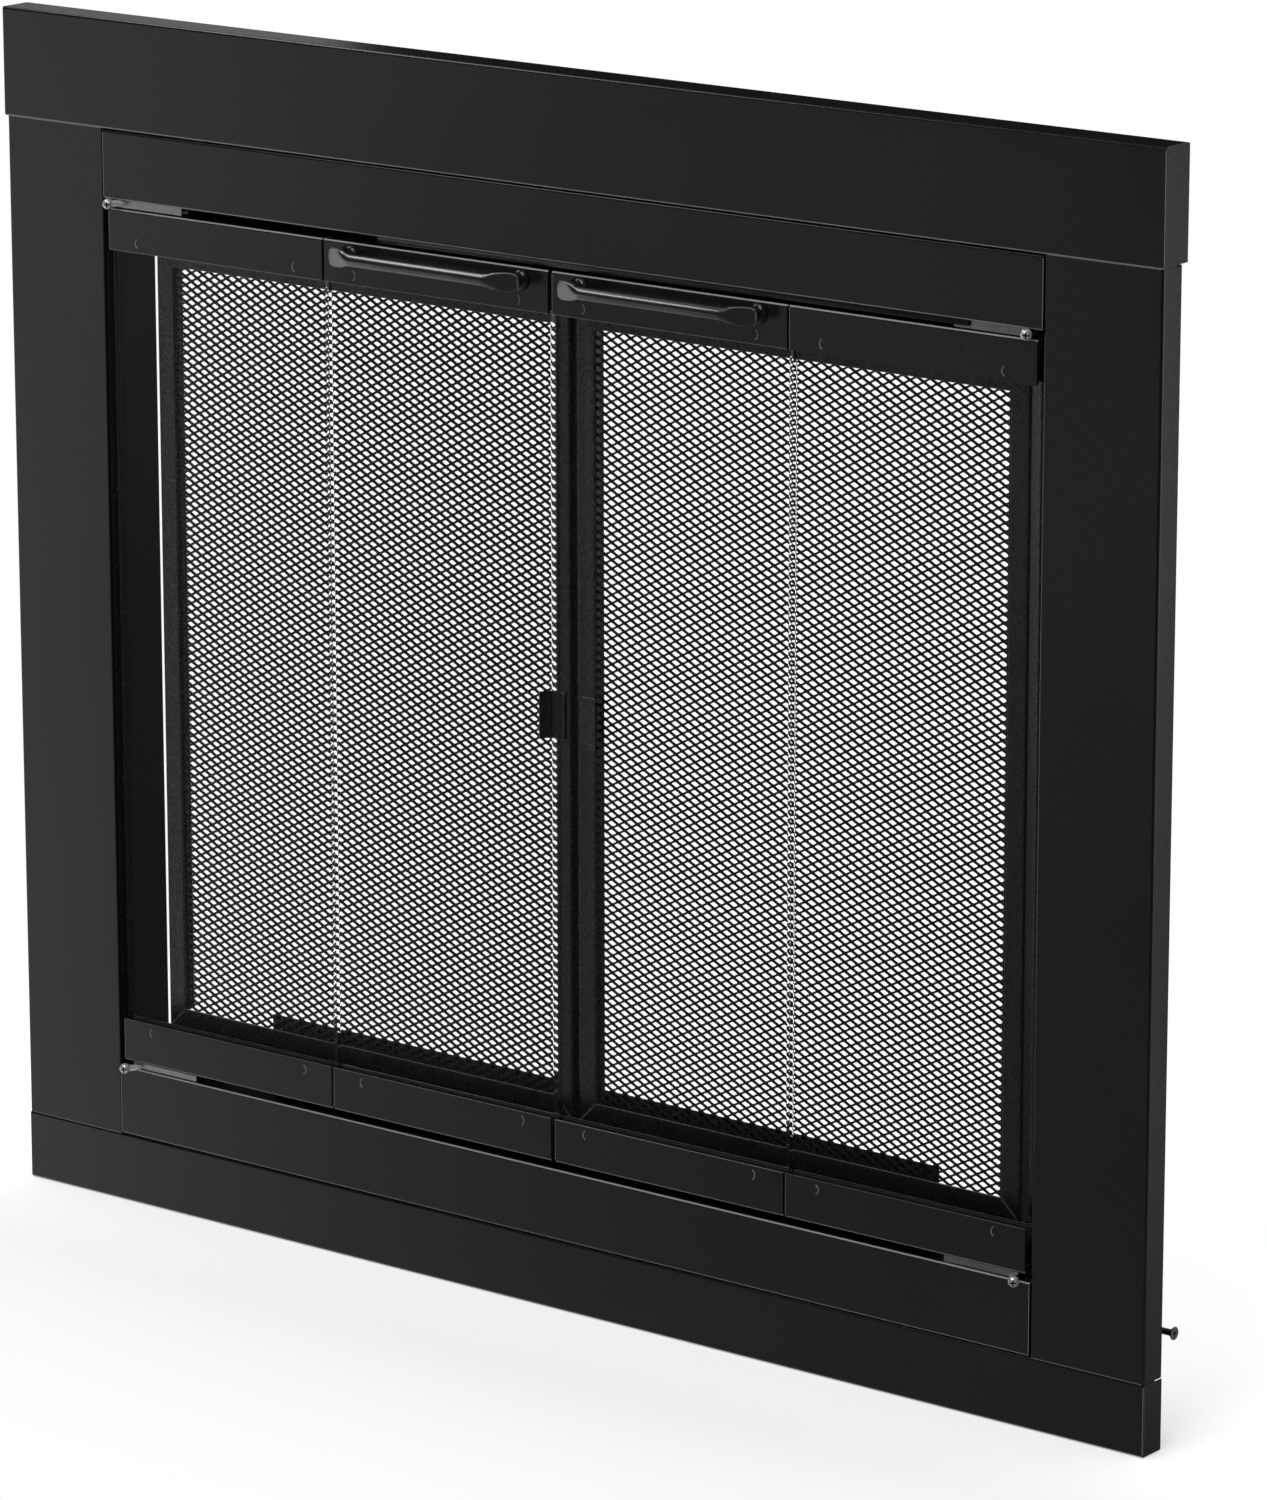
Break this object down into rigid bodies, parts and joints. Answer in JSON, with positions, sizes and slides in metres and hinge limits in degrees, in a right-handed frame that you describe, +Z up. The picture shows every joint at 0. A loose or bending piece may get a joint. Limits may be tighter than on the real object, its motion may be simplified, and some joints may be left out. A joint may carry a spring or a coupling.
{
  "type": "fireplace glass door",
  "caption": "Black steel fireplace door set: bifold glass leaves with bar handles over mesh gate doors and an air shutter, made to stand in front of a masonry opening.",
  "frame": {"origin": "underside of the bottom rail on the centre line, 12 mm behind the front plane of the top rail", "axes": "+X to the right as seen from the room, +Y into the firebox, +Z up"},
  "size_m": [0.9524, 0.1205, 0.8382],
  "materials": {
    "black_paint": "fine-textured satin black paint",
    "gate_paint": "satin black paint",
    "zinc": "zinc plated",
    "handle": "satin dark grey",
    "glass": "clear tempered, polished edges",
    "gasket": "matte woven strip",
    "magnet": "matte housing"
  },
  "bodies": {
    "surround": {"top_rail": "black_paint", "left_stile": "black_paint", "right_stile": "black_paint", "bottom_rail": "black_paint", "header_channel": "black_paint", "sill_channel": "black_paint", "left_jamb": "black_paint", "right_jamb": "black_paint", "pivot_brackets": "zinc", "pivot_screws": "zinc", "frame_screws": "zinc", "mesh_hinge_brackets": "black_paint", "glass_catches": "magnet", "mesh_catch": "magnet", "vent_plate": "black_paint", "lintel_clamps": "zinc", "anchor_brackets": "zinc", "masonry_screws": "zinc"},
    "left_outer": {"left_outer_glass": "glass", "left_outer_top_clip": "black_paint", "left_outer_bottom_clip": "black_paint", "left_outer_pads": "gasket", "left_outer_screws": "black_paint", "left_outer_hinges": "black_paint", "left_outer_pins": "zinc"},
    "left_inner": {"left_inner_glass": "glass", "left_inner_top_clip": "black_paint", "left_inner_bottom_clip": "black_paint", "left_inner_pads": "gasket", "left_inner_screws": "black_paint", "left_inner_hinges": "black_paint", "left_handle": "handle"},
    "right_outer": {"right_outer_glass": "glass", "right_outer_top_clip": "black_paint", "right_outer_bottom_clip": "black_paint", "right_outer_pads": "gasket", "right_outer_screws": "black_paint", "right_outer_hinges": "black_paint", "right_outer_pins": "zinc"},
    "right_inner": {"right_inner_glass": "glass", "right_inner_top_clip": "black_paint", "right_inner_bottom_clip": "black_paint", "right_inner_pads": "gasket", "right_inner_screws": "black_paint", "right_inner_hinges": "black_paint", "right_handle": "handle"},
    "left_mesh": {"left_mesh_frame": "gate_paint", "left_mesh_screen": "gate_paint", "left_mesh_pull": "gate_paint", "left_mesh_pins": "zinc"},
    "right_mesh": {"right_mesh_frame": "gate_paint", "right_mesh_screen": "gate_paint", "right_mesh_pull": "gate_paint", "right_mesh_pins": "zinc"},
    "shutter": {"vent_shutter": "black_paint"}
  },
  "joints": [
    {"name": "left_leaf_pivot", "type": "hinge", "parent": "surround", "child": "left_outer", "pos_m": [-0.371, -0.005, 0.4], "axis": [0, 0, -1], "range_deg": [0, 130]},
    {"name": "left_leaf_fold", "type": "hinge", "parent": "left_outer", "child": "left_inner", "pos_m": [-0.1925, 0.0042, 0.4], "axis": [0, 0, -1], "range_deg": [-174.2, 0]},
    {"name": "left_gate_hinge", "type": "hinge", "parent": "surround", "child": "left_mesh", "pos_m": [-0.3564, 0.02, 0.4], "axis": [0, 0, -1], "range_deg": [0, 42.9]},
    {"name": "right_leaf_pivot", "type": "hinge", "parent": "surround", "child": "right_outer", "pos_m": [0.371, -0.005, 0.4], "axis": [0, 0, 1], "range_deg": [0, 130]},
    {"name": "right_leaf_fold", "type": "hinge", "parent": "right_outer", "child": "right_inner", "pos_m": [0.1925, 0.0042, 0.4], "axis": [0, 0, 1], "range_deg": [-174.2, 0]},
    {"name": "right_gate_hinge", "type": "hinge", "parent": "surround", "child": "right_mesh", "pos_m": [0.3564, 0.02, 0.4], "axis": [0, 0, 1], "range_deg": [0, 42.9]},
    {"name": "shutter_slide", "type": "slide", "parent": "surround", "child": "shutter", "axis": [1, 0, 0], "range_m": [0, 0.02]}
  ],
  "couplings": [
    {"joint": "left_leaf_fold", "follows": "left_leaf_pivot", "ratio": -1.34},
    {"joint": "left_gate_hinge", "follows": "left_leaf_pivot", "ratio": 0.33},
    {"joint": "right_leaf_fold", "follows": "right_leaf_pivot", "ratio": -1.34},
    {"joint": "right_gate_hinge", "follows": "right_leaf_pivot", "ratio": 0.33}
  ]
}
